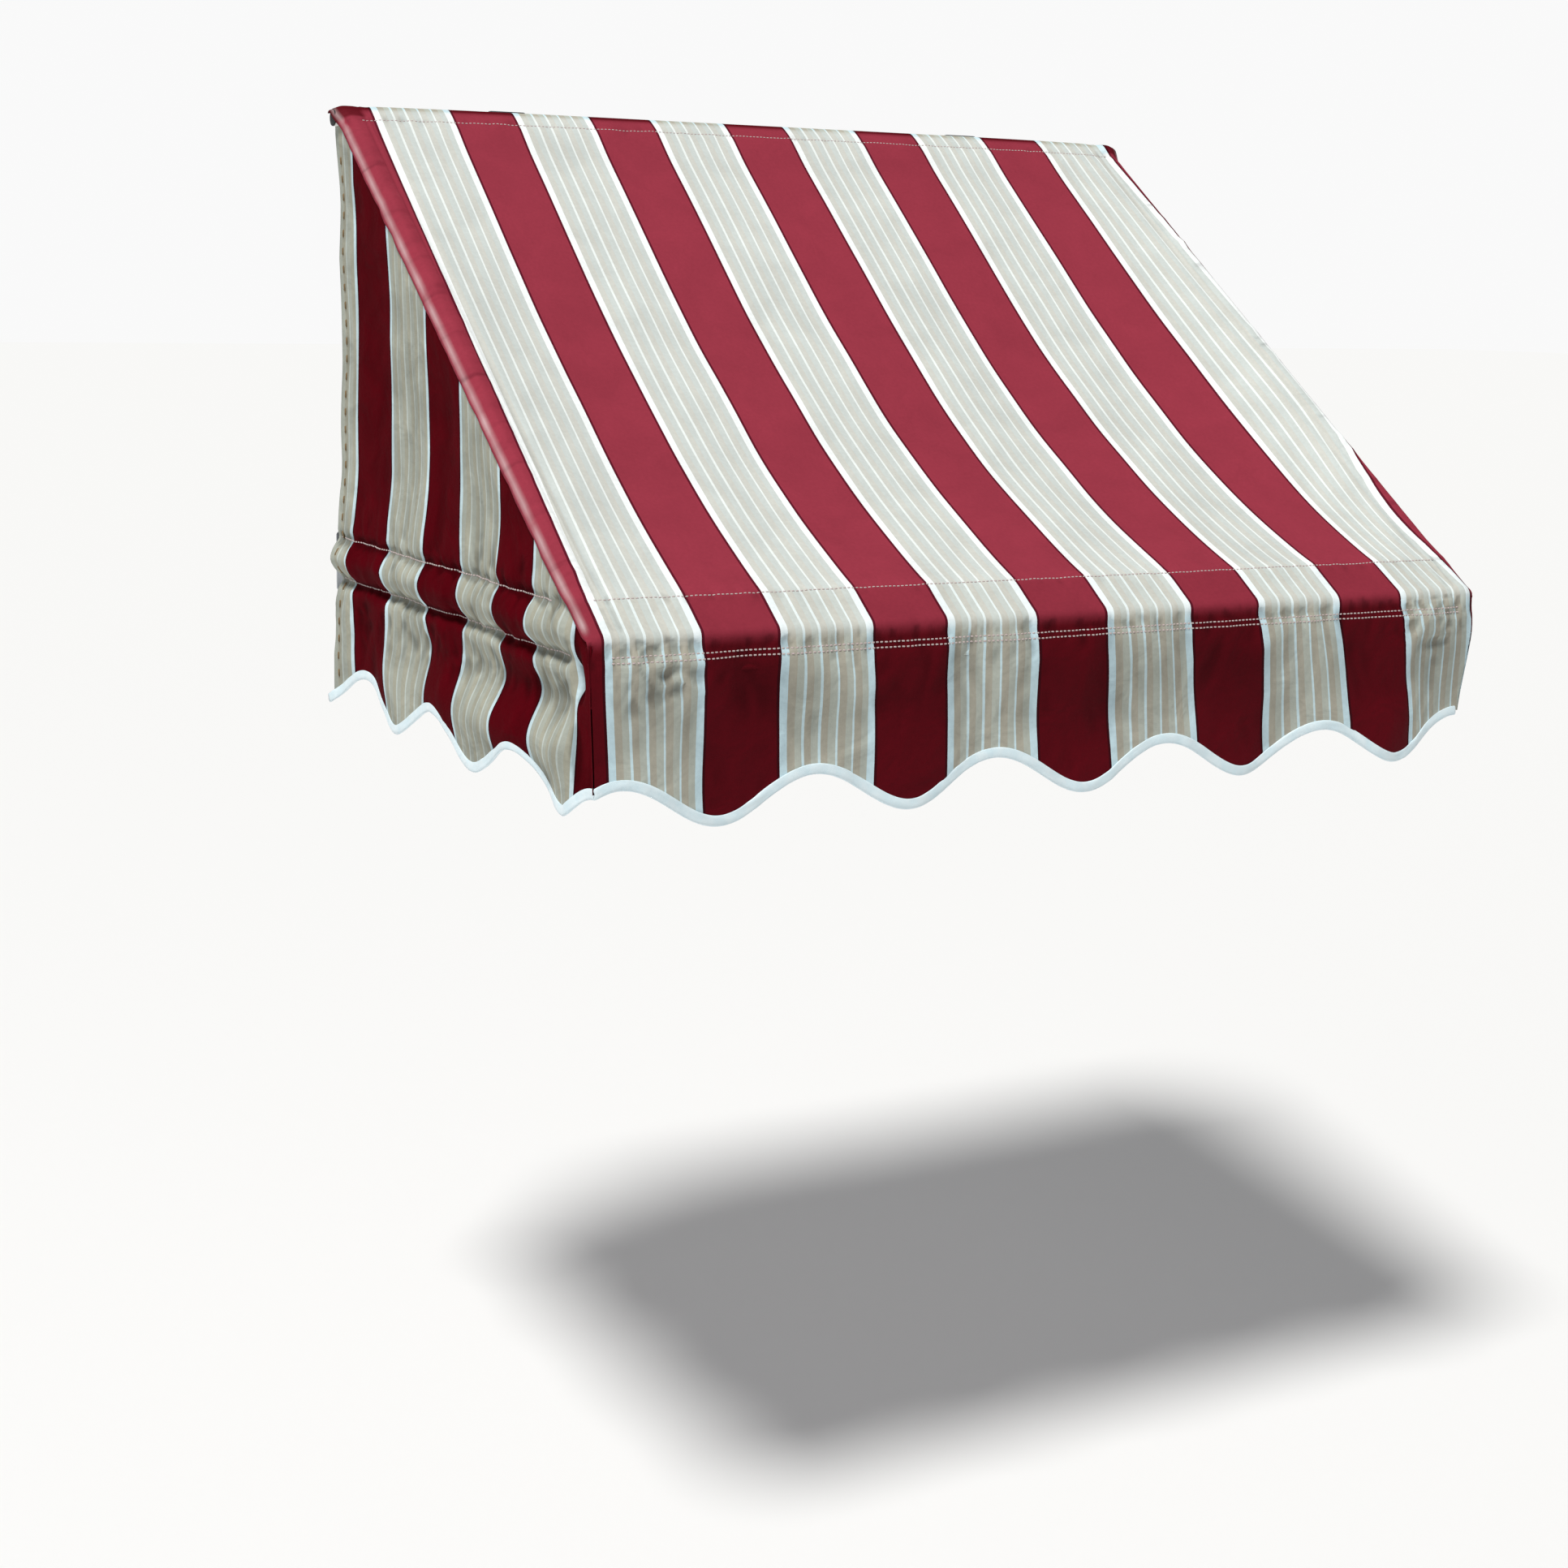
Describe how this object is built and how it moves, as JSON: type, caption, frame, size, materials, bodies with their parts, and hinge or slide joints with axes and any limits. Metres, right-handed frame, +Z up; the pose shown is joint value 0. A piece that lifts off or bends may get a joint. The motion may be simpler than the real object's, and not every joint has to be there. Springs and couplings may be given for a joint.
{
  "type": "window awning",
  "caption": "Striped cloth window awning on a fixed tube frame, with a sloping roof, closed sides and a scalloped valance, hung from the wall on small steel brackets.",
  "frame": {"origin": "on the wall face, half way between the two header brackets and level with the axis of the header tube", "axes": "+X along the window to the right as seen from the street, +Y into the wall, +Z up; the awning stands out from the wall towards -Y"},
  "size_m": [1.234, 0.836, 0.8009],
  "materials": {
    "white_tube": "white powder coat, satin",
    "zinc_bracket": "bright zinc plate",
    "cast_fitting": "white powder coat on a casting, fine orange peel",
    "screw_steel": "zinc plated, slightly dull",
    "black_plug": "moulded, matt",
    "roof_cloth": "woven polyester in red and off-white stripes, faint sheen",
    "side_cloth": "the same striped polyester, matt in shade",
    "binding": "folded bias tape, pale blue, faint sheen"
  },
  "bodies": {
    "root": {"header_tube": "white_tube", "front_tube": "white_tube", "canopy_cloth": "roof_cloth", "front_sleeve": "roof_cloth", "edge_binding": "binding", "header_end_plug_left": "black_plug", "header_bracket_left": "zinc_bracket", "header_clamp_left": "zinc_bracket", "clamp_screw_left": "screw_steel", "clamp_nut_left": "screw_steel", "header_tee_left": "cast_fitting", "tee_set_screw_left": "screw_steel", "rafter_upper_screw_left": "screw_steel", "rafter_left": "white_tube", "front_corner_left": "cast_fitting", "rafter_lower_screw_left": "screw_steel", "arm_front_screw_left": "screw_steel", "front_tube_screw_left": "screw_steel", "side_arm_left": "white_tube", "arm_bracket_left": "zinc_bracket", "arm_rear_screw_left": "screw_steel", "side_panel_left": "side_cloth", "arm_sleeve_left": "side_cloth", "header_end_plug_right": "black_plug", "header_bracket_right": "zinc_bracket", "header_clamp_right": "zinc_bracket", "clamp_screw_right": "screw_steel", "clamp_nut_right": "screw_steel", "header_tee_right": "cast_fitting", "tee_set_screw_right": "screw_steel", "rafter_upper_screw_right": "screw_steel", "rafter_right": "white_tube", "front_corner_right": "cast_fitting", "rafter_lower_screw_right": "screw_steel", "arm_front_screw_right": "screw_steel", "front_tube_screw_right": "screw_steel", "side_arm_right": "white_tube", "arm_bracket_right": "zinc_bracket", "arm_rear_screw_right": "screw_steel", "side_panel_right": "side_cloth", "arm_sleeve_right": "side_cloth"}
  },
  "joints": []
}
